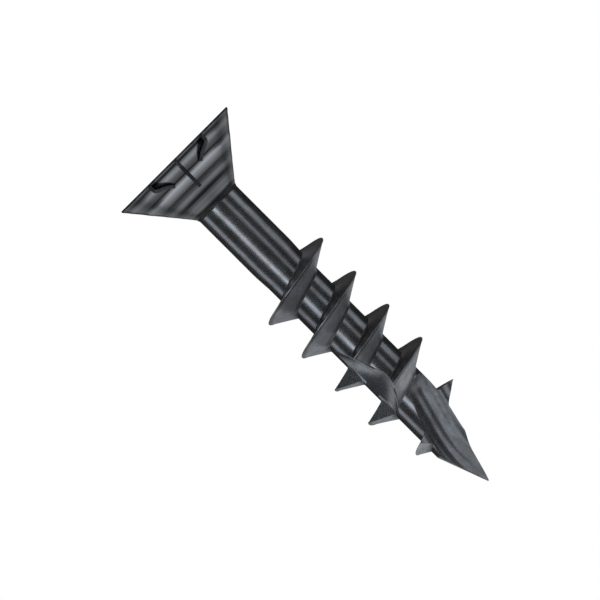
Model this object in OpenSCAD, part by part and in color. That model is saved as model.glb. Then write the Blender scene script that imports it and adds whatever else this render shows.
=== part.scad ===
// Countersunk wood screw with a square-and-cross drive, cutting nibs, a relief flute and a slotted point.
// The origin is the middle of the flat head face. The head looks up +Z and the point hangs down -Z.
// -Y is the front of the screw, the side that the flute and the slot face.

/* [Head] */
// Diameter of the head at its rim
head_d = 8.4; // [8:0.1:9]
// Height of the head, from its flat face to the neck
head_h = 3.4; // [3.2:0.05:3.6]
// Height of the straight rim of the head
rim_h = 0.1; // [0.05:0.05:0.2]

/* [Drive recess] */
// Width of the square socket across its flats
square_w = 2.54; // [2.2:0.02:2.8]
// Width of each wing of the cross
wing_w = 0.8; // [0.6:0.05:1]
// Span of the cross from wing end to wing end, at the face
wing_span = 4.9; // [4.4:0.1:5.4]
// Depth of the socket to the start of its conical bottom
recess_depth = 2.2; // [1.6:0.1:2.4]

/* [Nibs] */
// Thickness of each cutting nib
nib_t = 0.22; // [0.16:0.02:0.28]
// Depth below the face at which the outer edge of a nib turns inward
nib_turn = 0.56; // [0.4:0.02:0.7]
// Depth below the face at which a middle nib dies into the head
nib_end = 2.15; // [1.8:0.05:2.6]
// How far each hooked nib stands from the middle one, at the rim
hook_spread = 2.06; // [1.9:0.02:2.2]
// How far the tail of a hooked nib ends from the middle one
hook_reach = 1.02; // [0.8:0.02:1.2]
// Depth below the face at which the tail of a hooked nib ends
hook_end = 1.16; // [1.1:0.02:1.3]

/* [Neck and shank] */
// Diameter of the collar under the head
neck_d = 3; // [2.96:0.02:3.2]
// Height of the collar under the head
neck_h = 0.18; // [0.1:0.02:0.3]
// Diameter of the plain shank
shank_d = 2.9; // [2.84:0.02:2.94]
// Distance from the head face to the end of the plain shank
shank_end = 7.7; // [7:0.1:7.7]

/* [Thread] */
// Diameter over the thread crests
thread_d = 5.6; // [5:0.1:6]
// Diameter of the core under the thread
core_d = 2.76; // [2.7:0.02:2.8]
// Advance of the thread in one turn
pitch = 2.64; // [2.5:0.02:2.75]
// Distance from the head face to the first full crest
first_crest = 9.1; // [9:0.05:9.3]
// Angle of the head-side flank from square to the axis
head_flank = 11; // [8:1:14]
// Angle of the point-side flank from square to the axis
point_flank = 30; // [26:1:32]
// Width of the flat on the crest
crest_w = 0.06; // [0.04:0.01:0.1]
// Extra advance that the last turn gains as it is drawn out
last_turn_extra = 0.54; // [0:0.02:0.6]

/* [Flute] */
// Distance from the head face to the start of the flute
flute_start = 13.7; // [13.6:0.05:13.8]
// Distance from the head face to the widest place of the flute
flute_widest = 16.93; // [16.5:0.05:17.2]
// Distance from the head face to the end of the flute
flute_end = 19.25; // [19.1:0.05:19.4]
// Angle round the core, from the front, of the straight edge of the flute
flute_edge = 70; // [64:1:76]

/* [Slot and point] */
// Distance from the head face to the wall that starts the slot
slot_start = 18.35; // [18.3:0.05:18.5]
// Distance from the head face to the foot of the slot's ramp
slot_foot = 22.5; // [22.3:0.05:22.7]
// How far past the axis the floor of the slot lies
slot_past_axis = 0.34; // [0.2:0.02:0.4]
// Whole length of the screw
length = 25.4; // [25.2:0.1:25.8]
// Distance from the head face to the start of the tapered point
point_start = 22.46; // [22.3:0.02:22.6]

/* [Hidden] */
$fn = 96;

head_r = head_d / 2;
neck_r = neck_d / 2;
shank_r = shank_d / 2;
core_r = core_d / 2;
thread_r = thread_d / 2;
thread_depth = thread_r - core_r;
shank_start = head_h + neck_h;

// Cutters reach this far past the solids that they open.
over = 0.5;
// A cutter this wide clears the whole thread.
clear = thread_r + over;

// The wings narrow towards the bottom of the recess, and a drilled pilot ends it in a shallow cone.
wing_foot_r = square_w / 2 + 0.05;
pilot_r = square_w / 2 - 0.06;
pilot_cone_h = 0.45;

// Each nib is cut from a ring of stock, which sweeps in to the head on a bowed curve.
nib_bow = 0.15;
nib_curve_drop = 0.3;
nib_curve_steps = 8;
// A hooked nib runs straight down from the rim, swings round and trails towards the middle one.
hook_leave = [hook_spread, -0.4];
hook_swing = [hook_spread, -0.76];
hook_draw = [hook_spread - 0.54, -0.62];
hook_tail = [hook_reach, -hook_end];
hook_steps = 12;
// The stock of a hooked nib dies into the head this far below the end of its tail.
hook_fade = 0.15;

// The shank steps down to the core on a short cone, and the core gives way to the point here.
step_cone_h = 0.25;
core_end = 22.1;

// Places along the thread are counted in turns. 0 is the first full crest, on the right.
// A quarter turn on is the front, and a half turn on is the left. The ridge's flat sides just clear the core.
stations_per_turn = 36;
seat_r = core_r / cos(180 / stations_per_turn);
run_in_start = -0.42;
run_in_end = -0.04;
run_out_start = 3.92;
run_out_low = 4.5;
run_out_end = 4.74;
low_height = 0.52;
least_share = 0.02;
stretch_start = 3.4;
stretch_turns = 0.6;
// The flute opens the ridge twice and the slot once, so it stands in four lengths.
ridge_ends = [run_in_start, 2.37, 3.37, 4.12, run_out_end];

// The straight edge of the flute. Both edges of its cutter run just clear of the core.
flute_edge_r = core_r + 0.03;
flute_edge_x = -flute_edge_r * sin(flute_edge);
flute_edge_y = -flute_edge_r * cos(flute_edge);
// The far edge of the flute comes this close to the front at its widest place.
flute_far_x = -0.06;
flute_least = 0.02;
flute_steps = 8;

// The slot faces halfway between the front and the right, and starts with a low wall.
slot_facing = 45;
slot_wall_h = 0.14;

// The tip stands just behind the floor of the slot, so the point is a cone that leans.
tip_offset = slot_past_axis + 0.03;
tip_r = 0.04;
point_h = length - point_start;
steep_side = atan((core_r - tip_offset) / point_h);
slack_side = atan((core_r + tip_offset) / point_h);
point_half_angle = (slack_side + steep_side) / 2;
point_tilt = (slack_side - steep_side) / 2;
point_cone_h = 6;

black_steel = "#2b2e30";
worn_steel = "#41474a";
dark_steel = "#1f2021";

// Radius of the underside of the head at a depth below the face.
function head_r_at(depth) = head_r - (head_r - neck_r) * (depth - rim_h) / (head_h - rim_h);

// A value that rises from 0 to 1 as x goes from a to b, level at both ends.
function ease(x, a, b) =
    let (s = min(1, max(0, (x - a) / (b - a))))
    s * s * (3 - 2 * s);

// A point of the curve that leaves a towards b and arrives at c.
function bend(a, b, c, s) = (1 - s) * (1 - s) * a + 2 * s * (1 - s) * b + s * s * c;

// The middle line of a hooked nib, as seen from the front.
function hook_line(s) =
    bend(
        (1 - s) * hook_leave + s * hook_swing,
        (1 - s) * hook_swing + s * hook_draw,
        (1 - s) * hook_draw + s * hook_tail,
        s
    );

// The step square to that line that reaches the edge of the nib.
function hook_edge_step(s) =
    let (along = hook_line(s + 0.01) - hook_line(s - 0.01))
    [-along[1], along[0]] * nib_t / 2 / norm(along);

function hook_outline(side) =
    let (
        steps = [for (k = [0:hook_steps]) k / hook_steps],
        outer = [for (s = steps) hook_line(s) + hook_edge_step(s)],
        inner = [for (s = steps) hook_line(1 - s) - hook_edge_step(1 - s)],
        top = [[hook_spread - nib_t / 2, 0], [hook_spread + nib_t / 2, 0]]
    )
    [for (p = concat(top, outer, inner)) [p[0] * side, p[1]]];

function straight_outline() = [
    [-nib_t / 2, 0],
    [nib_t / 2, 0],
    [nib_t / 2, -nib_end],
    [-nib_t / 2, -nib_end]
];

// Height of the ridge as a share of its full depth: it swells at the start and dies away at the end.
function ridge_share(turns) = lookup(turns, [
    [run_in_start, least_share],
    [run_in_end, 1],
    [run_out_start, 1],
    [run_out_low, low_height],
    [run_out_end, least_share]
]);

function crest_z(turns) =
    -first_crest - pitch * turns - last_turn_extra * ease(turns, stretch_start, stretch_start + stretch_turns);

// One cross-section of the ridge, from its head-side root over the crest to its point-side root.
function ridge_ring(turns) =
    let (
        rise = thread_depth * ridge_share(turns),
        top = crest_z(turns) + crest_w / 2,
        bottom = crest_z(turns) - crest_w / 2,
        outline = [
            [seat_r, top + rise * tan(head_flank)],
            [seat_r + rise, top],
            [seat_r + rise, bottom],
            [seat_r, bottom - rise * tan(point_flank)]
        ]
    )
    [for (p = outline) [p[0] * cos(360 * turns), -p[0] * sin(360 * turns), p[1]]];

// How far the flute has opened at a depth: straight in to its widest place, then round out again.
function flute_share(depth) =
    depth < flute_widest
        ? (depth - flute_start) / (flute_widest - flute_start)
        : 1 - pow((depth - flute_widest) / (flute_end - flute_widest), 2);

// One cross-section of the flute's cutter: a floor between two edges on the core, and all in front of it.
function flute_ring(depth) =
    let (
        share = max(flute_least, flute_share(depth)),
        far_x = flute_edge_x + (flute_far_x - flute_edge_x) * share,
        far_y = -sqrt(flute_edge_r * flute_edge_r - far_x * far_x)
    )
    [
        [flute_edge_x, flute_edge_y, -depth],
        [-clear, flute_edge_y, -depth],
        [-clear, -clear, -depth],
        [far_x, -clear, -depth],
        [far_x, far_y, -depth]
    ];

// Triangles that close a skin over rings of equal size, clockwise as seen from outside.
function skin_faces(rings, size) = concat(
    [for (r = [0:rings - 2]) for (k = [0:size - 1])
        [r * size + k, r * size + (k + 1) % size, (r + 1) * size + k]],
    [for (r = [0:rings - 2]) for (k = [0:size - 1])
        [r * size + (k + 1) % size, (r + 1) * size + (k + 1) % size, (r + 1) * size + k]],
    [for (k = [1:size - 2]) [0, k + 1, k]],
    [for (k = [1:size - 2]) [(rings - 1) * size, (rings - 1) * size + k, (rings - 1) * size + k + 1]]
);

module skin(rings) {
    polyhedron(
        points = [for (ring = rings) each ring],
        faces = skin_faces(len(rings), len(rings[0])),
        convexity = 8
    );
}

// Turns what is drawn towards +X so that it faces an angle counted from the front to the right.
module facing(angle) {
    rotate([0, 0, angle - 90])
        children();
}

// Stands a flat outline of radius and height upright.
module upright(thickness) {
    rotate([90, 0, 0])
        linear_extrude(thickness, center = true)
            children();
}

module head_blank() {
    rotate_extrude()
        polygon([[0, 0], [head_r, 0], [head_r, -rim_h], [neck_r, -head_h], [0, -head_h]]);
}

// The square has its corners on the wings of the cross.
module recess() {
    translate([0, 0, -recess_depth])
        linear_extrude(recess_depth + over)
            rotate(45)
                square(square_w, center = true);
    intersection() {
        for (turn = [0, 90])
            rotate([0, 0, turn])
                cube([2 * head_r, wing_w, 2 * recess_depth], center = true);
        rotate_extrude()
            polygon([
                [0, over],
                [wing_span / 2, over],
                [wing_span / 2, 0],
                [wing_foot_r, -recess_depth],
                [0, -recess_depth]
            ]);
    }
    rotate_extrude()
        polygon([[0, over], [pilot_r, over], [pilot_r, -recess_depth], [0, -recess_depth - pilot_cone_h]]);
}

module flute() {
    ways_in = [for (k = [0:flute_steps - 1]) flute_start + (flute_widest - flute_start) * k / flute_steps];
    ways_out = [for (k = [0:flute_steps]) flute_widest + (flute_end - flute_widest) * k / flute_steps];
    skin([for (depth = concat(ways_in, ways_out)) flute_ring(depth)]);
}

module slot() {
    facing(slot_facing)
        upright(2 * clear)
            polygon([
                [clear, -slot_start],
                [core_r - slot_wall_h, -slot_start],
                [-slot_past_axis, -slot_foot],
                [-slot_past_axis, -length - over],
                [clear, -length - over]
            ]);
}

module head() {
    color(black_steel)
        difference() {
            head_blank();
            recess();
        }
}

// The ring that a nib is cut from: upright below the rim, and then sweeping in to the head.
module nib_stock(end) {
    turn = [head_r, -nib_turn];
    pull = [head_r_at(nib_turn + nib_curve_drop) + nib_bow, -nib_turn - nib_curve_drop];
    tail = [head_r_at(end), -end];
    rotate_extrude()
        polygon(concat(
            [[head_r, -rim_h]],
            [for (k = [0:nib_curve_steps]) bend(turn, pull, tail, k / nib_curve_steps)]
        ));
}

// Runs a flat outline of width and height through the front half of the head.
module through_front() {
    rotate([90, 0, 0])
        linear_extrude(head_r + over)
            children();
}

// The middle nib of three is straight, and its neighbours hook towards it. The same three stand behind.
module nib(number) {
    side = (number - 1) % 3 - 1;
    color(worn_steel)
        rotate([0, 0, number > 3 ? 180 : 0])
            intersection() {
                nib_stock(side == 0 ? nib_end : hook_end + hook_fade);
                through_front()
                    polygon(side == 0 ? straight_outline() : hook_outline(side));
            }
}

module neck() {
    color(dark_steel)
        translate([0, 0, -shank_start])
            cylinder(h = neck_h, r = neck_r);
}

module shank() {
    color(black_steel)
        translate([0, 0, -shank_end])
            cylinder(h = shank_end - shank_start, r = shank_r);
}

module thread_core() {
    color(black_steel)
        difference() {
            rotate_extrude()
                polygon([
                    [0, -shank_end],
                    [shank_r, -shank_end],
                    [core_r, -shank_end - step_cone_h],
                    [core_r, -core_end],
                    [0, -core_end]
                ]);
            flute();
            slot();
        }
}

// One length of the ridge, which stands on the core and is opened by the same cuts.
module thread(number) {
    from = ridge_ends[number - 1];
    to = ridge_ends[number];
    steps = ceil((to - from) * stations_per_turn);
    color(worn_steel)
        difference() {
            skin([for (k = [0:steps]) ridge_ring(from + (to - from) * k / steps)]);
            flute();
            slot();
        }
}

module point() {
    color(black_steel)
        difference() {
            intersection() {
                translate([0, 0, -length - over])
                    cylinder(h = length + over - core_end, r = core_r);
                facing(slot_facing)
                    translate([-tip_offset, 0, -length])
                        rotate([0, point_tilt, 0])
                            cylinder(h = point_cone_h, r1 = tip_r, r2 = point_cone_h * tan(point_half_angle));
            }
            slot();
        }
}

head();
nib(1);  // nib_1
nib(2);  // nib_2
nib(3);  // nib_3
nib(4);  // nib_4
nib(5);  // nib_5
nib(6);  // nib_6
neck();
shank();
thread_core();
thread(1);  // thread_1
thread(2);  // thread_2
thread(3);  // thread_3
thread(4);  // thread_4
point();
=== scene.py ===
"""A black countersunk wood screw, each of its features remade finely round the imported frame."""
import math

import bmesh
import bpy
from mathutils import Matrix, Vector


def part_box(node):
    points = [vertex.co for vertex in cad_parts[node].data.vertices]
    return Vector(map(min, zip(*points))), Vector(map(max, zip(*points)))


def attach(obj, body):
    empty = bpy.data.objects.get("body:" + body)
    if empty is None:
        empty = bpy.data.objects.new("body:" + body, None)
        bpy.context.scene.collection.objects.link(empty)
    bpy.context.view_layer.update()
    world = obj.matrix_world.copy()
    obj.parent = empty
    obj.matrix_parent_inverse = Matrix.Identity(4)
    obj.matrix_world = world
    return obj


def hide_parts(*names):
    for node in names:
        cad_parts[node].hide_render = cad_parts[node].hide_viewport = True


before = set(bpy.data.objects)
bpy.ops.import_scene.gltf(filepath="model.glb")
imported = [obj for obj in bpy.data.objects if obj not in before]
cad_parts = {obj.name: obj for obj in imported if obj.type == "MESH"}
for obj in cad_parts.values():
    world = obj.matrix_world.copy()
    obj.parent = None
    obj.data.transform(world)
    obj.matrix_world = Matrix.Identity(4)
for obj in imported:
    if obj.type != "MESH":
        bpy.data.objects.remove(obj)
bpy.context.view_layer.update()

# Pieces are built in millimetres and scaled to the frame's metres at the end.
MM = 0.001


def box_mm(node):
    """The low and high corners of a node's box."""
    low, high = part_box(node)
    return low / MM, high / MM


# Sizes that the frame's boxes give.
head_low, head_high = box_mm("head")
neck_low, neck_high = box_mm("neck")
shank_low, shank_high = box_mm("shank")
core_low, core_high = box_mm("thread_core")
nib_low, nib_high = box_mm("nib_2")
point_low, point_high = box_mm("point")

HEAD_R = head_high.x
HEAD_H = -head_low.z
NECK_R = neck_high.x
SHANK_R = shank_high.x
THREAD_R = box_mm("thread_1")[1].x
NIB_THICK = nib_high.x - nib_low.x
NIB_TOP = -nib_high.z
NIB_END = -nib_low.z
LENGTH = -point_low.z

# Sizes of the screw's design that no box shows. Depths count down from the head's face, angles are in
# degrees, and places along the thread are in turns from its first crest.
CORE_R = 1.38
STEP_TAPER_H = 1.6
RIM_H = NIB_TOP
SQUARE_W = 2.54
WING_W = 0.8
WING_SPAN = 4.9
RECESS_DEPTH = 2.2
PILOT_CONE_H = 0.45
PILOT_CLEARANCE = 0.06
WING_FOOT = 0.05
EDGE_BREAK = 0.035
NIB_TURN = 0.56
NIB_BOW = 0.15
NIB_CURVE_DROP = 0.3
HOOK_END = 1.16
HOOK_FADE = 0.15
HOOK_SPREAD = 2.06
HOOK_LINE = ((HOOK_SPREAD, -0.4), (HOOK_SPREAD, -0.76), (HOOK_SPREAD - 0.54, -0.62), (1.02, -HOOK_END))
PITCH = 2.64
FIRST_CREST = 9.1
HEAD_FLANK = 11
POINT_FLANK = 30
LAST_TURN_EXTRA = 0.54
STRETCH_START = 3.4
STRETCH_TURNS = 0.6
RUN_IN = (-0.42, -0.04)
RUN_OUT = (3.92, 4.5, 4.74)
LOW_SHARE = 0.52
LEAST_SHARE = 0.02
RIDGE_ENDS = (RUN_IN[0], 2.37, 3.37, 4.12, RUN_OUT[2])
FLUTE_START = 13.7
FLUTE_WIDEST = 16.93
FLUTE_END = 19.25
FLUTE_EDGE_ANGLE = 70
FLUTE_FAR_X = -0.06
SLOT_START = 18.35
SLOT_FOOT = 22.5
SLOT_PAST_AXIS = 0.34
SLOT_WALL_H = 0.14
SLOT_FACING = 45
POINT_START = 22.46
TIP_BACK = 0.03
TIP_R = 0.03

# How finely the pieces are cut, and how far the cutters reach past them.
ROUND_STEPS = 256
STEPS_PER_TURN = 144
OVER = 0.5
CLEAR = THREAD_R + OVER


def ease(x, a, b):
    """Rises smoothly from 0 at a to 1 at b."""
    s = min(1.0, max(0.0, (x - a) / (b - a)))
    return s * s * (3 - 2 * s)


def spread(a, b, count):
    """count + 1 values from a to b."""
    return [a + (b - a) * k / count for k in range(count + 1)]


def arc(centre, radius, from_deg, to_deg, steps):
    """Points along an arc of a circle."""
    return [
        (centre[0] + radius * math.cos(math.radians(d)), centre[1] + radius * math.sin(math.radians(d)))
        for d in spread(from_deg, to_deg, steps)
    ]


def around(radius, angle):
    """The place at an angle counted from the front (-Y) to the right (+X)."""
    return radius * math.sin(math.radians(angle)), -radius * math.cos(math.radians(angle))


def head_r_at(depth):
    """Radius of the head's cone at a depth."""
    return HEAD_R - (HEAD_R - NECK_R) * (depth - RIM_H) / (HEAD_H - RIM_H)


# ---------------------------------------------------------------- mesh building


def new_object(name, verts, faces):
    mesh = bpy.data.meshes.new(name)
    mesh.from_pydata([tuple(v) for v in verts], [], faces)
    mesh.validate()
    mesh.update()
    obj = bpy.data.objects.new(name, mesh)
    bpy.context.scene.collection.objects.link(obj)
    return obj


def outward(obj):
    """Turns every face to look outward."""
    bm = bmesh.new()
    bm.from_mesh(obj.data)
    bmesh.ops.recalc_face_normals(bm, faces=bm.faces)
    bm.to_mesh(obj.data)
    bm.free()
    return obj


def loft(name, rings):
    """Skins equal rings of points and closes both ends."""
    size = len(rings[0])
    verts = [p for ring in rings for p in ring]
    faces = [list(range(size))]
    for i in range(len(rings) - 1):
        for k in range(size):
            n = (k + 1) % size
            faces.append((i * size + k, (i + 1) * size + k, (i + 1) * size + n, i * size + n))
    base = (len(rings) - 1) * size
    faces.append([base + size - 1 - k for k in range(size)])
    return outward(new_object(name, verts, faces))


def lathe(name, outline, steps=ROUND_STEPS):
    """Turns an outline of (radius, z) round Z. A flat disc closes each end."""
    turns = [2 * math.pi * k / steps for k in range(steps)]
    return loft(name, [[(r * math.cos(t), r * math.sin(t), z) for t in turns] for r, z in outline])


def rotate(obj, angle):
    obj.data.transform(Matrix.Rotation(angle, 4, "Z"))
    return obj


def two_slots(mesh):
    """A first material slot for the outside, and a second for the cut faces."""
    while len(mesh.materials) < 2:
        mesh.materials.append(None)


def cut(obj, *cutters):
    """Takes each cutter out of an object. The faces that it leaves get the second material."""
    two_slots(obj.data)
    for cutter in cutters:
        for face in cutter.data.polygons:
            face.material_index = 1
        step = obj.modifiers.new("cut", "BOOLEAN")
        step.operation = "DIFFERENCE"
        step.solver = "EXACT"
        step.object = cutter
        graph = bpy.context.evaluated_depsgraph_get()
        graph.update()
        made = bpy.data.meshes.new_from_object(obj.evaluated_get(graph))
        obj.modifiers.clear()
        obj.data = made
        two_slots(made)
        bpy.data.objects.remove(cutter)
    return obj


def finish_piece(obj, node, material, cut_material=None, crease=35):
    """Scales a piece to the frame, shades it, and ties it to the node that it stands for."""
    obj.data.transform(Matrix.Scale(MM, 4))
    obj.data.shade_smooth()
    obj.data.set_sharp_from_angle(angle=math.radians(crease))
    if cut_material:
        obj.data.materials[0], obj.data.materials[1] = material, cut_material
    else:
        obj.data.materials.clear()
        obj.data.materials.append(material)
    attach(obj, "root")
    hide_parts(node)
    return obj


# ---------------------------------------------------------------- the screw's features


# The head's bands: depth below the face, and how much painted highlight the band has there, with painted
# shade where it has none. The less it has, the deeper its turned groove.
GROOVE_AND_PAINTED_HIGHLIGHT_BANDS = (
    (0.0, 0.2),
    (0.03, 0.0),
    (0.25, 0.03),
    (0.52, 0.7),
    (0.8, 0.25),
    (1.02, 0.0),
    (1.3, 1.0),
    (1.52, 0.5),
    (1.85, 0.0),
    (2.18, 0.4),
    (2.5, 0.0),
    (2.85, 0.36),
    (3.1, 0.36),
    (3.25, 0.0),
)
BAND_GROOVE = 0.02


def cone_ring(depth):
    """The shallow groove that each band of painted shade on the head's underside lies in."""
    fade_in, fade_out, plain_foot = 0.2, 0.2, 0.1
    foot = HEAD_H - plain_foot
    fade = ease(depth, RIM_H, RIM_H + fade_in) * (1 - ease(depth, foot - fade_out, foot))
    band_highlight = GROOVE_AND_PAINTED_HIGHLIGHT_BANDS[0][1]
    for (a, low), (b, high) in zip(GROOVE_AND_PAINTED_HIGHLIGHT_BANDS, GROOVE_AND_PAINTED_HIGHLIGHT_BANDS[1:]):
        if a <= depth <= b:
            band_highlight = low + (high - low) * ease(depth, a, b)
    return -BAND_GROOVE * fade * (1 - band_highlight)


def make_head():
    """The flat face, rounded rim and grooved cone, with the recess cut in."""
    rim = arc((HEAD_R - EDGE_BREAK, -EDGE_BREAK), EDGE_BREAK, 90, 0, 4)
    underside = [(head_r_at(d) + cone_ring(d), -d) for d in spread(RIM_H, HEAD_H, 90)]
    first_ring_r = 0.13
    face = [(r, 0) for r in spread(first_ring_r, HEAD_R - EDGE_BREAK, 30)[:-1]]
    head = lathe("head_shell", [*face, *rim, *underside])
    # Half a step round, so that no edge of the face runs into a corner of the recess.
    rotate(head, math.pi / ROUND_STEPS)
    return cut(head, *recess_cutters())


def cross_ring(reach, half_width, z):
    """A level cross of four arms with round ends."""
    half = math.degrees(math.asin(half_width / reach))
    inner_r = half_width * math.sqrt(2)
    ring = []
    for turn in (0, 90, 180, 270):
        ring += arc((0, 0), reach, turn - half, turn + half, 9)
        ring += arc((0, 0), inner_r, turn + 45, turn + 45, 1)[:1]
    return [(x, y, z) for x, y in ring]


def recess_cutters():
    """The square socket, the cross whose arms shorten with depth, and the drilled pilot, edges broken."""
    corner = SQUARE_W / math.sqrt(2)
    floor = -RECESS_DEPTH
    sides = ((OVER, EDGE_BREAK), (0, EDGE_BREAK), (-EDGE_BREAK, 0), (floor, 0))
    corners = (0, 90, 180, 270)
    square = loft("square", [[(*around(corner + grow, a), z) for a in corners] for z, grow in sides])

    # The cross ends, and the pilot's cone starts, just clear of the square's floor, so no two share a plane.
    cross_clear, cone_clear = 0.05, 0.01
    mouth, foot = WING_SPAN / 2, SQUARE_W / 2 + WING_FOOT
    arms = (
        (OVER, mouth, EDGE_BREAK),
        (0, mouth, EDGE_BREAK),
        (-EDGE_BREAK, mouth, 0),
        (floor + cross_clear, foot, 0),
    )
    cross = loft("cross", [cross_ring(reach + grow, WING_W / 2 + grow, z) for z, reach, grow in arms])

    pilot_r, pilot_tip_r = SQUARE_W / 2 - PILOT_CLEARANCE, 0.02
    outline = [
        (pilot_r, floor + OVER),
        (pilot_r, floor + cone_clear),
        (pilot_tip_r, floor - PILOT_CONE_H),
    ]
    return [square, cross, lathe("pilot", outline, 96)]


def bezier(points, s):
    """A point of the curve that the points steer."""
    while len(points) > 1:
        points = [tuple((1 - s) * a + s * b for a, b in zip(p, q)) for p, q in zip(points, points[1:])]
    return points[0]


def nib_edge(end):
    """Radius of a nib's outer edge by depth: upright below the rim, and then sweeping in to the head."""
    pull_depth = NIB_TURN + NIB_CURVE_DROP
    curve = ((HEAD_R, NIB_TURN), (head_r_at(pull_depth) + NIB_BOW, pull_depth), (head_r_at(end), end))
    samples = [bezier(curve, s) for s in spread(0, 1, 48)]

    def radius_at(depth):
        if depth <= NIB_TURN:
            return HEAD_R
        for (r0, d0), (r1, d1) in zip(samples, samples[1:]):
            if depth <= d1:
                return r0 + (r1 - r0) * (depth - d0) / (d1 - d0)
        return head_r_at(depth)

    return radius_at


def nib_line(side):
    """The middle line of a nib as (x, depth), and the step across it, as seen from the front."""
    if side == 0:
        return [((0, d), (1, 0)) for d in spread(RIM_H, NIB_END, 40)]
    step = 0.01
    line = [((HOOK_SPREAD, d), (1, 0)) for d in spread(RIM_H, -HOOK_LINE[0][1], 8)[:-1]]
    for s in spread(0, 1, 48):
        x, z = bezier(HOOK_LINE, s)
        ahead, behind = (bezier(HOOK_LINE, t) for t in (s + step, s - step))
        along = Vector((ahead[0] - behind[0], ahead[1] - behind[1])).normalized()
        line.append(((x, -z), (-along.y, -along.x)))
    return [((x * side, d), (across_x * side, across_d)) for (x, d), (across_x, across_d) in line]


def make_nib(number, side, turned):
    """A thin rib with rounded edges that stands on the head's underside."""
    radius_at = nib_edge(NIB_END if side == 0 else HOOK_END + HOOK_FADE)
    sunk = 0.08
    # Its section as (place across, rise), one half and then the other in mirror image.
    crown = ((-1, 0.0), (-1, 0.55), (-0.93, 0.84), (-0.75, 0.97), (-0.3, 1.0))
    crown = [*crown, *[(-across, rise) for across, rise in reversed(crown)]]
    rings = []
    for (x, depth), (step_x, step_d) in nib_line(side):
        ring = []
        for across, rise in crown:
            px = x + step_x * across * NIB_THICK / 2
            pd = max(RIM_H, depth + step_d * across * NIB_THICK / 2)
            inner = head_r_at(pd) - sunk
            r = inner + (radius_at(pd) - inner) * rise
            ring.append((px, -math.sqrt(r * r - px * px), -pd))
        rings.append(ring)
    nib = loft(f"nib_rib_{number}", rings)
    return rotate(nib, math.pi) if turned else nib


def make_neck():
    """A short collar with a fine groove round it."""
    groove = 0.02
    mid = (neck_low.z + neck_high.z) / 2
    outline = [
        (NECK_R, neck_high.z),
        (NECK_R, mid + groove),
        (NECK_R - groove, mid),
        (SHANK_R + groove, mid - groove),
        (SHANK_R, neck_low.z),
    ]
    return lathe("neck_collar", outline)


def make_shank():
    return lathe("shank_rod", [(SHANK_R, z) for z in spread(shank_high.z, shank_low.z, 12)])


def flute_share(depth):
    """How far the flute has opened at a depth: straight in to its widest place, then round out again."""
    if depth < FLUTE_WIDEST:
        return (depth - FLUTE_START) / (FLUTE_WIDEST - FLUTE_START)
    return 1 - ((depth - FLUTE_WIDEST) / (FLUTE_END - FLUTE_WIDEST)) ** 2


# The ridge is cut this much deeper than the core, so that its buried root never lies in a cut's own surface.
RIDGE_CUT_EXTRA = 0.008


def flute_cutter(extra=0.0):
    """A floor between two edges on the core, and all that lies in front of it."""
    proud, hollow, floor_steps = 0.02, 0.05, 6
    edge_r = CORE_R + proud
    edge_x, edge_y = around(edge_r, -FLUTE_EDGE_ANGLE)
    depths = spread(FLUTE_START, FLUTE_WIDEST, 28)[:-1] + spread(FLUTE_WIDEST, FLUTE_END, 22)
    rings = []
    for depth in depths:
        share = max(LEAST_SHARE, flute_share(depth))
        far_x = edge_x + (FLUTE_FAR_X - edge_x) * share
        far_y = -math.sqrt(edge_r**2 - far_x**2)
        along = Vector((edge_x - far_x, edge_y - far_y))
        inward = Vector((-along.y, along.x)).normalized()
        if inward.dot(Vector((far_x, far_y))) > 0:
            inward.negate()
        floor = []
        for s in spread(0, 1, floor_steps):
            sag = hollow * share * 4 * s * (1 - s) + extra
            floor.append((far_x + along.x * s + inward.x * sag, far_y + along.y * s + inward.y * sag))
        outline = [*floor, (-CLEAR, edge_y), (-CLEAR, -CLEAR), (far_x, -CLEAR)]
        rings.append([(x, y, -depth) for x, y in outline])
    return loft("flute_cutter", rings)


def slot_line():
    """The slot's floor as (depth, distance from the axis): wall, ramp, rounded foot and long floor."""
    top, foot = (SLOT_START, CORE_R - SLOT_WALL_H), (SLOT_FOOT, -SLOT_PAST_AXIS)
    blend_reach = 1.2
    share = 1 - blend_reach / (SLOT_FOOT - SLOT_START)
    into = tuple(a + (b - a) * share for a, b in zip(top, foot))
    out_of = (SLOT_FOOT + blend_reach, -SLOT_PAST_AXIS)
    ramp = [bezier((top, into), s) for s in spread(0, 1, 20)[:-1]]
    blend = [bezier((into, foot, out_of), s) for s in spread(0, 1, 16)]
    floor = [(depth, -SLOT_PAST_AXIS) for depth in spread(out_of[0], LENGTH + OVER, 10)[1:]]
    return ramp + blend + floor


def slot_cutter(extra=0.0):
    """The slot, its floor a little hollow from side to side and lined with the cutter's marks."""
    hollow, mark, mark_pitch = 0.14, 0.01, 0.75
    fade_in, tip_clear = 0.8, 0.3
    rings = []
    for depth, s in slot_line():
        z = -depth
        opened = ease(depth, SLOT_START, SLOT_START + fade_in)
        opened *= 1 - ease(depth, SLOT_FOOT, LENGTH - tip_clear)
        line = []
        for y in spread(-CLEAR, CLEAR, 128):
            sag = hollow * max(0.0, 1 - (y / CORE_R) ** 2) + mark * math.sin(2 * math.pi * y / mark_pitch)
            line.append((s - opened * sag - extra, y, z))
        rings.append([*line, (CLEAR, CLEAR, z), (CLEAR, -CLEAR, z)])
    return rotate(loft("slot_cutter", rings), math.radians(SLOT_FACING - 90))


def make_core():
    """The root of the thread, which tapers smoothly out of the shank."""
    taper = [
        (SHANK_R + (CORE_R - SHANK_R) * ease(s, 0, 1), core_high.z - STEP_TAPER_H * s)
        for s in spread(0, 1, 12)
    ]
    levels = spread(core_high.z - STEP_TAPER_H, core_low.z, 60)[1:]
    core = lathe("core_rod", [*taper, *[(CORE_R, z) for z in levels]])
    return cut(core, flute_cutter(), slot_cutter())


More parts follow.
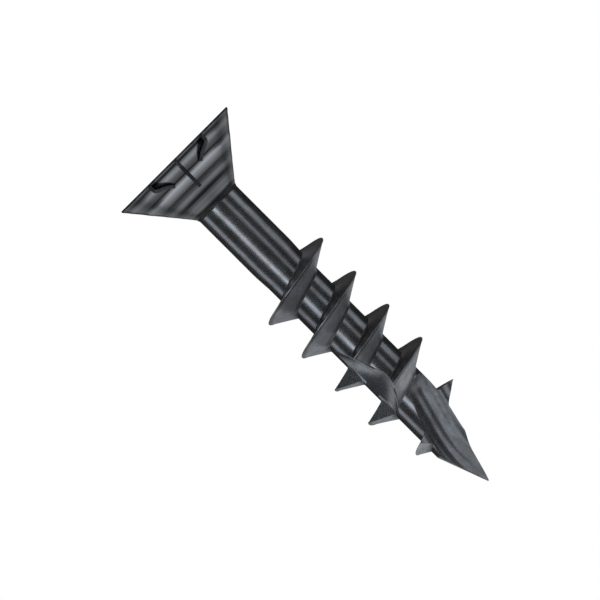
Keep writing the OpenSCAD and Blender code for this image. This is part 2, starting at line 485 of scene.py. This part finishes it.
def ridge_share(turns):
    """Height of the ridge as a share of its full depth."""
    if turns < RUN_IN[1]:
        return ease(turns, *RUN_IN) * (1 - LEAST_SHARE) + LEAST_SHARE
    if turns < RUN_OUT[0]:
        return 1.0
    if turns < RUN_OUT[1]:
        return 1 + (LOW_SHARE - 1) * (turns - RUN_OUT[0]) / (RUN_OUT[1] - RUN_OUT[0])
    return LEAST_SHARE + (LOW_SHARE - LEAST_SHARE) * (RUN_OUT[2] - turns) / (RUN_OUT[2] - RUN_OUT[1])


def crest_z(turns):
    """Height of the crest, whose pitch opens in the last turn."""
    extra = LAST_TURN_EXTRA * ease(turns, STRETCH_START, STRETCH_START + STRETCH_TURNS)
    return -FIRST_CREST - PITCH * turns - extra


def ridge_profile(share):
    """The ridge's outline as (radius, height over the crest), from head-side root to point-side root."""
    rise = (THREAD_R - CORE_R) * share
    up = rise * math.tan(math.radians(HEAD_FLANK))
    down = rise * math.tan(math.radians(POINT_FLANK))
    fillet = 0.09 * share
    blunt = 0.022 * share
    buried = CORE_R - 0.1
    head_side = [(CORE_R + rise * f, up * (1 - f)) for f in (0.12, 0.4, 0.7, 0.94)]
    point_side = [(CORE_R + rise * f, -down * (1 - f)) for f in (0.94, 0.7, 0.4, 0.12)]
    crest = [(CORE_R + rise - blunt * 0.3, blunt), (CORE_R + rise, 0), (CORE_R + rise - blunt * 0.3, -blunt)]
    return [
        (buried, up + fillet),
        (CORE_R, up + fillet),
        (CORE_R + fillet * 0.35, up + fillet * 0.25),
        *head_side,
        *crest,
        *point_side,
        (CORE_R + fillet * 0.35, -down - fillet * 0.15),
        (CORE_R, -down - fillet),
        (buried, -down - fillet),
    ]


def make_ridge(number):
    """One length of the thread, opened by the flute and the slot."""
    start, end = RIDGE_ENDS[number - 1 : number + 1]
    rings = []
    for turns in spread(start, end, round((end - start) * STEPS_PER_TURN)):
        t = 2 * math.pi * turns
        z = crest_z(turns)
        profile = ridge_profile(ridge_share(turns))
        rings.append([(r * math.cos(t), -r * math.sin(t), z + h) for r, h in profile])
    ridge = loft(f"thread_ridge_{number}", rings)
    cutters = []
    if number < 4:
        cutters.append(flute_cutter(RIDGE_CUT_EXTRA))
    if number > 2:
        cutters.append(slot_cutter(RIDGE_CUT_EXTRA))
    return cut(ridge, *cutters)


def make_point():
    """A leaning cone whose tip stands just behind the floor of the slot."""
    lean_x, lean_y = (-(SLOT_PAST_AXIS + TIP_BACK) * c for c in around(1, SLOT_FACING))
    turns = [2 * math.pi * k / ROUND_STEPS for k in range(ROUND_STEPS)]
    rings = []
    for z in [*spread(point_high.z, -POINT_START, 3)[:-1], *spread(-POINT_START, -LENGTH, 40)]:
        s = max(0.0, (-z - POINT_START) / (LENGTH - POINT_START))
        r = CORE_R + (TIP_R - CORE_R) * s
        rings.append([(lean_x * s + r * math.cos(t), lean_y * s + r * math.sin(t), z) for t in turns])
    return cut(loft("point_tip", rings), slot_cutter())


# ---------------------------------------------------------------- material


class Graph:
    """Shorthands for the nodes of a material or a world."""

    def __init__(self, owner):
        owner.use_nodes = True
        self.tree = owner.node_tree
        self.tree.nodes.clear()

    def add(self, kind, **settings):
        node = self.tree.nodes.new(kind)
        for name, value in settings.items():
            setattr(node, name, value)
        return node

    def link(self, output, socket):
        self.tree.links.new(output, socket)

    def put(self, value, socket):
        """Sets a socket to a number or a colour, or links an output to it."""
        if isinstance(value, (int, float, tuple)):
            socket.default_value = value
        elif value is not None:
            self.link(value, socket)

    def math(self, operation, a, b=None, clamp=False):
        node = self.add("ShaderNodeMath", operation=operation, use_clamp=clamp)
        self.put(a, node.inputs[0])
        self.put(b, node.inputs[1])
        return node.outputs[0]

    def product(self, a, b):
        return self.math("MULTIPLY", a, b)

    def largest(self, *values):
        most = values[0]
        for value in values[1:]:
            most = self.math("MAXIMUM", most, value)
        return most

    def split(self, vector):
        """The three parts of a vector."""
        node = self.add("ShaderNodeSeparateXYZ")
        self.link(vector, node.inputs[0])
        return node.outputs

    def noise(self, vector, scale, detail=3.0, roughness=0.5):
        node = self.add("ShaderNodeTexNoise")
        node.inputs["Scale"].default_value = scale
        node.inputs["Detail"].default_value = detail
        node.inputs["Roughness"].default_value = roughness
        self.link(vector, node.inputs["Vector"])
        return node.outputs["Fac"]

    def fit(self, value, low, high, to_low=0.0, to_high=1.0, shape="SMOOTHSTEP"):
        """Maps low..high to to_low..to_high."""
        node = self.add("ShaderNodeMapRange", interpolation_type=shape)
        self.link(value, node.inputs["Value"])
        for name, number in zip(("From Min", "From Max", "To Min", "To Max"), (low, high, to_low, to_high)):
            node.inputs[name].default_value = number
        return node.outputs["Result"]

    def mix(self, factor, a, b):
        node = self.add("ShaderNodeMix", data_type="RGBA")
        for name, value in (("Factor", factor), ("A", a), ("B", b)):
            self.put(value, next(s for s in node.inputs if s.name == name and s.enabled))
        return next(s for s in node.outputs if s.enabled)

    def highlight_ramp(self, height, bands):
        """Follows bands of (depth, painted highlight) down the piece."""
        deepest = bands[-1][0]
        ramp = self.add("ShaderNodeValToRGB")
        ramp.color_ramp.interpolation = "EASE"
        for k, (depth, band_highlight) in enumerate(bands):
            if k < 2:
                stop = ramp.color_ramp.elements[k]
                stop.position = depth / deepest
            else:
                stop = ramp.color_ramp.elements.new(depth / deepest)
            stop.color = (band_highlight, band_highlight, band_highlight, 1)
        self.link(self.math("MULTIPLY", height, -1 / deepest), ramp.inputs["Fac"])
        return ramp.outputs["Color"]

    def stretched(self, source, scale):
        node = self.add("ShaderNodeMapping")
        node.inputs["Scale"].default_value = scale
        self.link(source, node.inputs["Vector"])
        return node.outputs["Vector"]


# Near-black for painted shade on the thread.
PAINTED_SHADE_BLACK = (0.015, 0.014, 0.014, 1)
# Near-black painted shade and pale painted highlight for the head's bands.
PAINTED_SHADE_BAND = (0.012, 0.011, 0.011, 1)
PAINTED_HIGHLIGHT_BAND = (0.33, 0.345, 0.36, 1)
BARE_STEEL = (0.33, 0.345, 0.37, 1)


def toned(colour, tone):
    return (*(c * tone for c in colour), 1)


def grain_lines(g, grain, mm, parts, radius):
    """Fine lines along the wire (drawn), round it (turned), or a plain mottle."""
    if grain == "drawn":
        return g.noise(g.stretched(mm, (9, 9, 0.35)), 1.0, 3.0)
    if grain == "turned":
        rings = g.add("ShaderNodeCombineXYZ")
        g.link(radius, rings.inputs[0])
        g.link(parts[2], rings.inputs[1])
        return g.noise(g.stretched(rings.outputs[0], (9, 9, 1)), 1.0, 3.0)
    return g.noise(mm, 4.0, 3.0)


def thread_shade(g, radius):
    """How much painted shade the thread gets: in its root, on its upward-facing head-side flank, and as
    darkening out at its crest.
    """
    root = g.fit(radius, CORE_R + 0.02, CORE_R + 0.3, 0.75, 0.0)
    crest = g.fit(radius, THREAD_R - 0.3, THREAD_R - 0.08, 0.0, 0.8)
    # Faces that look upward, as the head-side flank does, are darkened as painted shade.
    normal = g.split(g.add("ShaderNodeNewGeometry").outputs["Normal"])
    return g.largest(root, crest, g.fit(normal[2], 0.0, 0.5, 0.0, 0.8))


def black_steel(
    name,
    grain,
    tone=1.0,
    roughness=0.24,
    wear=0.3,
    metallic=0.95,
    edge_r=HEAD_R,
    bands=(),
    shaded=False,
):
    """Near-black phosphate and oil on steel. grain is drawn (along Z), turned (round Z) or plain.

    The coat is rubbed thin out at edge_r, and along a few scuffs. The head's bands, given by depth, are
    painted highlight with painted shade between.
    shaded paints shade into the thread's root and onto its head-side flank, and darkens its crest.
    """
    material = bpy.data.materials.new(name)
    g = Graph(material)
    mm = g.stretched(g.add("ShaderNodeTexCoord").outputs["Object"], (1 / MM, 1 / MM, 1 / MM))
    parts = g.split(mm)
    radius = g.math("SQRT", g.math("ADD", g.product(parts[0], parts[0]), g.product(parts[1], parts[1])))
    cloud = g.noise(mm, 0.9, 4.0, 0.6)
    crystals = g.noise(mm, 14.0, 4.0, 0.65)
    lines = grain_lines(g, grain, mm, parts, radius)

    edge = g.fit(radius, edge_r - 0.09, edge_r - 0.02)
    scuffs = g.product(g.fit(lines, 0.58, 0.75, 0.0, 0.25), g.fit(cloud, 0.45, 0.6))
    rubbed_edge = g.product(edge, g.fit(cloud, 0.35, 0.6, 0.35, 1.0))
    rubbed = g.product(g.largest(rubbed_edge, scuffs), wear)

    deep, blue = toned((0.125, 0.128, 0.135), tone), toned((0.175, 0.19, 0.21), tone)
    coat = g.mix(g.fit(cloud, 0.35, 0.65), deep, blue)
    coat = g.mix(g.fit(lines, 0.35, 0.7, 0.0, 0.35), coat, toned((0.08, 0.078, 0.08), tone))
    # The head's bands: painted highlight and painted shade, set by depth, with a little grain.
    if bands:
        band_highlight = g.highlight_ramp(parts[2], bands)
        band_highlight = g.math("ADD", band_highlight, g.fit(lines, 0.3, 0.7, -0.08, 0.08), clamp=True)
        coat = g.mix(band_highlight, PAINTED_SHADE_BAND, PAINTED_HIGHLIGHT_BAND)
    # Painted shade on the thread's root and head-side flank, and darkening at its crest.
    if shaded:
        coat = g.mix(thread_shade(g, radius), coat, PAINTED_SHADE_BLACK)

    shader = g.add("ShaderNodeBsdfPrincipled")
    g.link(g.mix(rubbed, coat, BARE_STEEL), shader.inputs["Base Color"])
    shader.inputs["Metallic"].default_value = metallic
    shader.inputs["IOR"].default_value = 1.45
    gloss = g.math("ADD", g.fit(crystals, 0.3, 0.7, -0.02, 0.04), roughness)
    gloss = g.math("ADD", gloss, g.fit(lines, 0.3, 0.7, -0.02, 0.04))
    g.link(g.math("SUBTRACT", gloss, g.product(rubbed, 0.06)), shader.inputs["Roughness"])

    bump = g.add("ShaderNodeBump")
    bump.inputs["Strength"].default_value = 0.22
    bump.inputs["Distance"].default_value = 0.006 * MM
    g.link(g.math("ADD", g.product(crystals, 0.3), g.product(lines, 0.6)), bump.inputs["Height"])
    g.link(bump.outputs["Normal"], shader.inputs["Normal"])
    g.link(shader.outputs[0], g.add("ShaderNodeOutputMaterial").inputs["Surface"])
    return material


# ---------------------------------------------------------------- stage, light and camera


CAMERA_AIM = Vector((-0.575, 0, -10.66))
CAMERA_REACH = 80
VIEW_WIDTH = 33.87
FLOOR_Z = -LENGTH - 0.6
FLOOR_REACH = 1500


def make_floor():
    """A pale floor below the point, lit a little from within. The steel doesn't mirror it."""
    corners = ((-1, -1), (1, -1), (1, 1), (-1, 1))
    verts = [(x * FLOOR_REACH, y * FLOOR_REACH, FLOOR_Z) for x, y in corners]
    floor = new_object("floor", verts, [(0, 1, 2, 3)])
    floor.data.transform(Matrix.Scale(MM, 4))
    pale = bpy.data.materials.new("pale_floor")
    pale.use_nodes = True
    shader = pale.node_tree.nodes["Principled BSDF"]
    shader.inputs["Base Color"].default_value = (0.86, 0.86, 0.86, 1)
    shader.inputs["Roughness"].default_value = 0.9
    shader.inputs["Specular IOR Level"].default_value = 0.0
    shader.inputs["Emission Color"].default_value = (1, 1, 1, 1)
    shader.inputs["Emission Strength"].default_value = 0.5
    floor.data.materials.append(pale)
    floor.visible_glossy = False
    floor.visible_shadow = False


def make_world():
    """White to the eye, and dim where it lights the coat or is mirrored in it, though brighter overhead."""
    world = bpy.data.worlds.new("studio")
    g = Graph(world)

    def glow(colour, strength=1.0):
        node = g.add("ShaderNodeBackground")
        g.put(colour, node.inputs["Color"])
        g.put(strength, node.inputs["Strength"])
        return node.outputs[0]

    def choose(ray, otherwise, seen):
        node = g.add("ShaderNodeMixShader")
        for value, socket in zip((ray, otherwise, seen), node.inputs):
            g.link(value, socket)
        return node.outputs[0]

    path = g.add("ShaderNodeLightPath")
    height = g.split(g.add("ShaderNodeTexCoord").outputs["Generated"])[2]
    mirrored = glow((0.035, 0.03, 0.031, 1), g.fit(height, 0.5, 0.8, 1.0, 9.0, shape="LINEAR"))
    unseen = choose(path.outputs["Is Glossy Ray"], glow((0.25, 0.24, 0.24, 1)), mirrored)
    sky = choose(path.outputs["Is Camera Ray"], unseen, glow((1.0, 1.0, 1.0, 1)))
    g.link(sky, g.add("ShaderNodeOutputWorld").inputs["Surface"])
    bpy.context.scene.world = world


def soft_box(name, place, aim, width, height, glow, lit=None):
    """An area light in millimetres. glow is how bright its face looks, and lit is what alone it lights."""
    light = bpy.data.lights.new(name, "AREA")
    light.shape = "RECTANGLE"
    light.size = width * MM
    light.size_y = height * MM
    light.energy = glow * math.pi * light.size * light.size_y
    light.color = (0.94, 0.975, 1.0)
    lamp = bpy.data.objects.new(name, light)
    lamp.location = place * MM
    lamp.rotation_euler = (aim - place).to_track_quat("-Z", "Y").to_euler()
    lamp.visible_camera = False
    lamp.light_linking.receiver_collection = lit
    bpy.context.scene.collection.objects.link(lamp)


# Upright strips: angle round the screw from the front, width, glow.
STRIPS = ((-94, 34, 1.4), (-29, 25, 3.1), (30, 18, 1.2), (83, 44, 1.15))
STRIP_REACH, STRIP_Z, STRIP_H = 90, -30, 140

# Soft boxes: name, place, height that it aims at on the axis, width, height, glow.
BOXES = (
    ("low_box", (0, 10, -75), -5, 130, 90, 1.0),
    ("low_back", (0, 95, -62), -5, 180, 70, 0.4),
    ("low_front", (-25, -75, -65), -8, 70, 60, 2.4),
    ("brow_box", (10, -85, 42), 0, 170, 26, 0.8),
    ("face_box", (0, 20, 130), 0, 240, 240, 0.9),
)


def make_lights(pieces):
    """Strips draw the long bands below the head, low boxes light the undersides, high ones the face.

    Only high_box lights the floor too.
    """
    screw_only, below_head = (bpy.data.collections.new(name) for name in ("screw_only", "below_head"))
    for piece in pieces:
        screw_only.objects.link(piece)
        if piece.name != "head_shell":
            below_head.objects.link(piece)
    for angle, width, glow in STRIPS:
        place = Vector((*around(STRIP_REACH, angle), STRIP_Z))
        soft_box(f"strip_{angle}", place, Vector((0, 0, STRIP_Z)), width, STRIP_H, glow, below_head)
    for name, place, aim_z, width, height, glow in BOXES:
        soft_box(name, Vector(place), Vector((0, 0, aim_z)), width, height, glow, screw_only)
    soft_box("high_box", Vector((0, 20, 130)), Vector((0, 0, 0)), 240, 240, 0.8)


def make_camera():
    """Looks along +Y with the screw's head at the upper left, rolled an eighth of a turn."""
    camera = bpy.data.cameras.new("camera")
    camera.type = "ORTHO"
    camera.ortho_scale = VIEW_WIDTH * MM
    eye = bpy.data.objects.new("camera", camera)
    right = Vector((1, 0, -1)).normalized()
    up = Vector((1, 0, 1)).normalized()
    back = Vector((0, -1, 0))
    turn = Matrix((right, up, back)).transposed().to_4x4()
    eye.matrix_world = Matrix.Translation((CAMERA_AIM + back * CAMERA_REACH) * MM) @ turn
    camera.clip_start = MM
    camera.clip_end = 1
    bpy.context.scene.collection.objects.link(eye)
    bpy.context.scene.camera = eye


def build():
    """Makes every piece in place of its node, and returns them all."""
    # The head's coat carries its bands of painted highlight and painted shade.
    head_coat = black_steel("head_coat", "turned", bands=GROOVE_AND_PAINTED_HIGHLIGHT_BANDS)
    # The recess is a darker copy of the head's coat, as painted shade.
    socket_shade_coat = black_steel("socket_shade_coat", "plain", tone=0.22, roughness=0.5)
    shank_coat = black_steel("shank_coat", "drawn")
    milled_coat = black_steel("milled_coat", "drawn", roughness=0.25)
    # The neck under the head is a darker copy of the coat, as painted shade.
    neck_shade_coat = black_steel("neck_shade_coat", "turned", tone=0.2, roughness=0.45, wear=0.1)
    # The thread's coat is a lighter copy of the shank's, as painted light on its flanks, and it carries
    # painted shade too.
    lightened_thread_look = dict(tone=1.25, roughness=0.33, metallic=0.75, edge_r=THREAD_R, shaded=True)
    thread_light_and_shade_coat = black_steel("thread_light_and_shade_coat", "plain", **lightened_thread_look)
    # The nibs are a darker copy of the coat, as painted shade, so they read as dark lines.
    nib_shade_coat = black_steel("nib_shade_coat", "plain", tone=0.15, roughness=0.4, wear=0.1)

    pieces = [finish_piece(make_head(), "head", head_coat, socket_shade_coat)]
    for number in range(1, 7):
        nib = make_nib(number, (number - 1) % 3 - 1, number > 3)
        pieces.append(finish_piece(nib, f"nib_{number}", nib_shade_coat))
    pieces.append(finish_piece(make_neck(), "neck", neck_shade_coat))
    pieces.append(finish_piece(make_shank(), "shank", shank_coat))
    pieces.append(finish_piece(make_core(), "thread_core", shank_coat, milled_coat))
    for number in range(1, 5):
        pieces.append(finish_piece(make_ridge(number), f"thread_{number}", thread_light_and_shade_coat, milled_coat))
    pieces.append(finish_piece(make_point(), "point", shank_coat, milled_coat))
    return pieces


bpy.context.scene.view_settings.view_transform = "Standard"
make_camera()
make_world()
make_floor()
make_lights(build())
